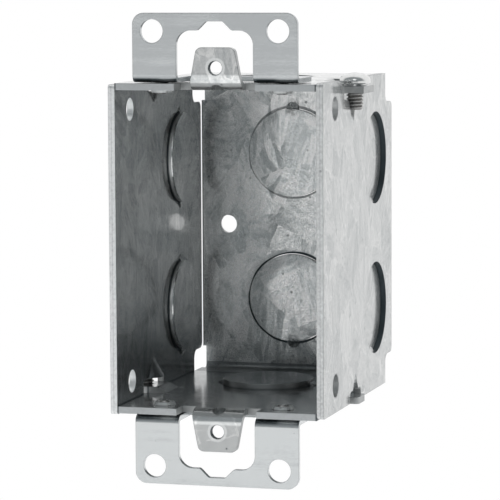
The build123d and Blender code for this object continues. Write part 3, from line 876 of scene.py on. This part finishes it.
def thread_liner(name, bore, length, outer, depth, pitch, rows=32, steps=48):
    """A closed liner for a tapped hole along Y, with the thread on its inside."""
    angles = round_angles(steps)
    form = bmesh.new()
    rings = []
    for row in range(rows + 1):
        along = length * row / rows
        ends = min(1, row, rows - row)
        ring = []
        for angle in angles:
            radius = bore - depth * thread_share(along, angle, pitch) * ends
            ring.append(form.verts.new((radius * math.cos(angle), along, radius * math.sin(angle))))
        rings.append(ring)
    for along in (length, 0):
        rings.append([form.verts.new((outer * math.cos(a), along, outer * math.sin(a))) for a in angles])
    for near, far in zip(rings, rings[1:] + rings[:1]):
        for k in range(steps):
            form.faces.new((near[k], near[(k + 1) % steps], far[(k + 1) % steps], far[k]))
    return as_mesh(form, name)


def carve(base, tool, operation, softening=0.0):
    """Joins or cuts two meshes into a new one, and rounds its sharp edges where a width is given."""
    pieces = [bpy.data.objects.new(mesh.name, mesh) for mesh in (base, tool)]
    for piece in pieces:
        bpy.context.scene.collection.objects.link(piece)
    step = pieces[0].modifiers.new("carve", "BOOLEAN")
    step.operation = operation
    step.object = pieces[1]
    step.solver = "EXACT"
    if softening:
        soft = pieces[0].modifiers.new("soft", "BEVEL")
        soft.width = softening
        soft.segments = 2
        soft.limit_method = "ANGLE"
        soft.angle_limit = ROUNDED_FROM
    graph = bpy.context.evaluated_depsgraph_get()
    made = bpy.data.meshes.new_from_object(pieces[0].evaluated_get(graph))
    for piece in pieces:
        bpy.data.objects.remove(piece)
    form = bmesh.new()
    form.from_mesh(made)
    bmesh.ops.remove_doubles(form, verts=form.verts, dist=SHORTEST_EDGE)
    bmesh.ops.dissolve_degenerate(form, dist=SHORTEST_EDGE, edges=form.edges)
    form.to_mesh(made)
    form.free()
    return made


def slotted_head(radius, height, slot_turn):
    """A pan head with an undercut, a round shoulder, a flat dome and a driver slot, as a mesh."""
    undercut = 0.14 * height
    rim = 0.38 * height
    crown = 0.93 * height
    flat = 0.4 * radius
    seat = 0.72 * radius
    chamfer = 0.07 * radius
    slot_width = 0.3 * radius
    slot_depth = 0.45 * height
    shoulder_steps, dome_steps, turned_steps = 12, 4, 72
    profile = [(0, 0), (seat, 0), (seat, undercut), (radius - chamfer, undercut)]
    profile.append((radius, undercut + chamfer))
    for k in range(shoulder_steps + 1):
        angle = math.pi / 2 * k / shoulder_steps
        out = flat + (radius - flat) * math.cos(angle)
        profile.append((out, rim + (crown - rim) * math.sin(angle)))
    for k in range(1, dome_steps + 1):
        inner = 1 - k / dome_steps
        profile.append((flat * inner, height - (height - crown) * inner**2))
    form = bmesh.new()
    lathe(form, profile, turned_steps)
    head = as_mesh(form, "head")
    form = bmesh.new()
    bmesh.ops.create_cube(form, size=1)
    size = Matrix.Diagonal((3 * radius, slot_width, 2 * slot_depth, 1))
    form.transform(Matrix.Rotation(slot_turn, 4, "Z") @ Matrix.Translation((0, 0, height)) @ size)
    return carve(head, as_mesh(form, "slot"), "DIFFERENCE", SLOT_ROUNDING)


def make_screw(node, way, shank, head, slot_turn, settings, material):
    """A threaded screw in the place of its CAD node. way is 1 for a screw that points down."""
    low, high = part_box(node)
    tip, top = (low.z, high.z) if way > 0 else (-high.z, -low.z)
    head_r = (high.x - low.x) / 2
    length = top - tip - head
    thread = threaded_shank(shank, settings.thread_depth, HEAD_OVERLAP * head, length, settings.pitch)
    mesh = carve(slotted_head(head_r, head, slot_turn), thread, "UNION")
    middle = (low + high) / 2
    turn = Matrix.Identity(4) if way > 0 else Matrix.Rotation(math.pi, 4, "Y")
    seat = Vector((middle.x, middle.y, way * (tip + length)))
    mesh.transform(Matrix.Translation(seat) @ turn)
    mesh.name = node + "_cut"
    mesh.materials.clear()
    mesh.materials.append(material)
    mesh.polygons.foreach_set("use_smooth", [True] * len(mesh.polygons))
    mesh.set_sharp_from_angle(angle=SHARP_FROM)
    piece = bpy.data.objects.new(node + "_cut", mesh)
    bpy.context.scene.collection.objects.link(piece)
    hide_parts(node)
    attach(piece, node)


class SWITCHBOX_OT_sheet(bpy.types.Operator):
    """Give the box and its side plates their spangled zinc"""

    bl_idname = "switchbox.sheet"
    bl_label = "Box and side plates"

    def execute(self, context):
        settings = context.scene.switch_box
        body = galvanised_sheet(settings, "galvanised_body", body_marks, settings.panel_edge)
        dress(BODY_NODES, body)
        plates = galvanised_sheet(settings, "galvanised_plates", plate_marks, settings.front_edge)
        dress(PLATE_NODES, plates)
        return {"FINISHED"}


class SWITCHBOX_OT_ears(bpy.types.Operator):
    """Give the ears their fine-grained zinc"""

    bl_idname = "switchbox.ears"
    bl_label = "Ears"

    def execute(self, context):
        dress(EAR_NODES, ear_sheet(context.scene.switch_box))
        return {"FINISHED"}


class SWITCHBOX_OT_screws(bpy.types.Operator):
    """Cut threads and driver slots on the side screws and the ear screws"""

    bl_idname = "switchbox.screws"
    bl_label = "Screws"

    def execute(self, context):
        settings = context.scene.switch_box_screws
        plating = screw_plating(settings)
        kinds = (
            (SIDE_SCREWS, settings.side_shank, settings.side_head),
            (EAR_SCREWS, settings.ear_shank, settings.ear_head),
        )
        for screws, shank, head in kinds:
            for node, (way, slot_turn) in screws.items():
                make_screw(node, way, shank, head, math.radians(slot_turn), settings, plating)
        return {"FINISHED"}


class SWITCHBOX_OT_tapped_holes(bpy.types.Operator):
    """Cut the thread in the two device holes"""

    bl_idname = "switchbox.tapped_holes"
    bl_label = "Tapped device holes"

    def execute(self, context):
        settings = context.scene.switch_box_screws
        zinc = bpy.data.materials["galvanised_body"]
        mounts = {m["name"]: m for m in frame["record"]["mounts"]}
        spacing = mounts["device_screws"]["dims"]["spacing_y_mm"] * MM
        inset = 0.01 * MM
        cover = 0.05 * MM
        depth = 0.1 * MM
        bore = settings.device_hole - 2 * inset
        outer = settings.device_hole + cover
        for side_name, side in (("upper", 1), ("lower", -1)):
            name = side_name + "_device_thread"
            mesh = thread_liner(name, bore, SHEET - 2 * inset, outer, depth, settings.pitch)
            mesh.transform(Matrix.Translation((0, inset, side * spacing / 2)))
            mesh.materials.append(zinc)
            piece = bpy.data.objects.new(name, mesh)
            context.scene.collection.objects.link(piece)
            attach(piece, "box")
        return {"FINISHED"}


class SWITCHBOX_OT_stage(bpy.types.Operator):
    """Lay the floor, light the room and set the camera"""

    bl_idname = "switchbox.stage"
    bl_label = "Floor, light and camera"

    def execute(self, context):
        settings = context.scene.switch_box_stage
        self.lay_floor(context, settings)
        self.light_room(context, settings)
        self.set_camera(context, settings)
        context.scene.view_settings.view_transform = "Standard"
        return {"FINISHED"}

    def lay_floor(self, context, settings):
        """A pale round floor below the box."""
        finish = Finish(bpy.data.materials.new("pale_floor"))
        matt = {"Base Color": settings.floor_colour, "Roughness": 0.9, "Specular IOR Level": 0.1}
        surface = finish.node("ShaderNodeBsdfPrincipled", {}, matt)
        finish.node("ShaderNodeOutputMaterial", {}, {"Surface": surface})
        form = bmesh.new()
        bmesh.ops.create_circle(form, cap_ends=True, radius=settings.floor_radius, segments=96)
        form.transform(Matrix.Translation((0, 0, CAD_BOX[0][2] - settings.floor_drop)))
        mesh = as_mesh(form, "floor")
        mesh.materials.append(finish.owner)
        floor = bpy.data.objects.new("floor", mesh)
        context.scene.collection.objects.link(floor)

    def light_room(self, context, settings):
        """A white room, dark above the horizon in front, with two softboxes."""
        world = bpy.data.worlds.new("studio")
        context.scene.world = world
        finish = Finish(world)
        way = finish.node("ShaderNodeTexCoord", {}, {}, "Generated")
        _, depth, height = finish.axes(way)
        far_room = finish.smooth(height, *HORIZON) * finish.smooth(-depth, *FRONT_HALF)
        front_way = (math.sin(settings.yaw), -math.cos(settings.yaw), 0)
        rim, core = (math.cos(math.radians(angle)) for angle in FRONT_SHADE)
        front = finish.smooth(finish.dot(way, front_way), rim, core)
        front = front * (0.5 + 0.5 * finish.smooth(height, *FRONT_FOOT))
        room = finish.mix(finish.largest(far_room, front), WHITE, settings.room_dark)
        seen = finish.node("ShaderNodeLightPath", {}, {}, "Is Camera Ray")
        colour = finish.mix(seen, room, WHITE)
        surface = finish.node("ShaderNodeBackground", {}, {"Color": colour, "Strength": 1.0})
        finish.node("ShaderNodeOutputWorld", {}, {"Surface": surface})
        above = Vector((0, 0, settings.softbox_height))
        overhead = self.hang_softbox(context, "overhead_softbox", above, OVERHEAD_SIZE, settings.softbox)
        overhead.visible_glossy = False
        self.hang_softbox(context, "key_softbox", Vector(settings.key_place), KEY_SIZE, settings.key)

    def hang_softbox(self, context, name, place, size, power):
        """A round lamp that points at the box."""
        lamp = bpy.data.lights.new(name, "AREA")
        lamp.shape = "DISK"
        lamp.size = size
        lamp.energy = power
        softbox = bpy.data.objects.new(name, lamp)
        aim = place.to_track_quat("Z", "Y").to_matrix().to_4x4()
        softbox.matrix_world = Matrix.Translation(place) @ aim
        context.scene.collection.objects.link(softbox)
        return softbox

    def set_camera(self, context, settings):
        """A camera that looks at its target from the front, turned, tilted and rolled."""
        ahead = Vector(
            (
                -math.sin(settings.yaw) * math.cos(settings.pitch),
                math.cos(settings.yaw) * math.cos(settings.pitch),
                -math.sin(settings.pitch),
            )
        )
        right = Vector((math.cos(settings.yaw), math.sin(settings.yaw), 0))
        up = right.cross(ahead)
        tilted_right = math.cos(settings.roll) * right + math.sin(settings.roll) * up
        tilted_up = math.cos(settings.roll) * up - math.sin(settings.roll) * right
        camera = bpy.data.objects.new("camera", bpy.data.cameras.new("camera"))
        camera.data.lens = settings.lens
        camera.data.sensor_width = SENSOR_WIDTH
        camera.data.clip_start = 10 * MM
        turn = Matrix((tilted_right, tilted_up, -ahead)).transposed().to_4x4()
        camera.matrix_world = Matrix.Translation(Vector(settings.target) - settings.distance * ahead) @ turn
        context.scene.collection.objects.link(camera)
        context.scene.camera = camera


OPERATORS = (
    SWITCHBOX_OT_sheet,
    SWITCHBOX_OT_ears,
    SWITCHBOX_OT_screws,
    SWITCHBOX_OT_tapped_holes,
    SWITCHBOX_OT_stage,
)


class SWITCHBOX_PT_panel(bpy.types.Panel):
    """Lists the steps that dress the box"""

    bl_idname = "SWITCHBOX_PT_panel"
    bl_label = "Switch Box"
    bl_space_type = "VIEW_3D"
    bl_region_type = "UI"
    bl_category = "Switch Box"

    def draw(self, context):
        scene = context.scene
        for operator in OPERATORS:
            self.layout.operator(operator.bl_idname)
        for group in (scene.switch_box, scene.switch_box_screws, scene.switch_box_stage):
            for name in group.__annotations__:
                self.layout.prop(group, name)


CLASSES = (BoxSettings, ScrewSettings, StageSettings, *OPERATORS, SWITCHBOX_PT_panel)


def register():
    """Adds the classes and the settings."""
    for cls in CLASSES:
        bpy.utils.register_class(cls)
    bpy.types.Scene.switch_box = bpy.props.PointerProperty(type=BoxSettings)
    bpy.types.Scene.switch_box_screws = bpy.props.PointerProperty(type=ScrewSettings)
    bpy.types.Scene.switch_box_stage = bpy.props.PointerProperty(type=StageSettings)


def unregister():
    """Takes the settings and the classes away."""
    del bpy.types.Scene.switch_box_stage
    del bpy.types.Scene.switch_box_screws
    del bpy.types.Scene.switch_box
    for cls in reversed(CLASSES):
        bpy.utils.unregister_class(cls)


def main():
    """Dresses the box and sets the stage."""
    register()
    bpy.ops.switchbox.sheet()
    bpy.ops.switchbox.ears()
    bpy.ops.switchbox.screws()
    bpy.ops.switchbox.tapped_holes()
    bpy.ops.switchbox.stage()


if __name__ == "__main__":
    main()
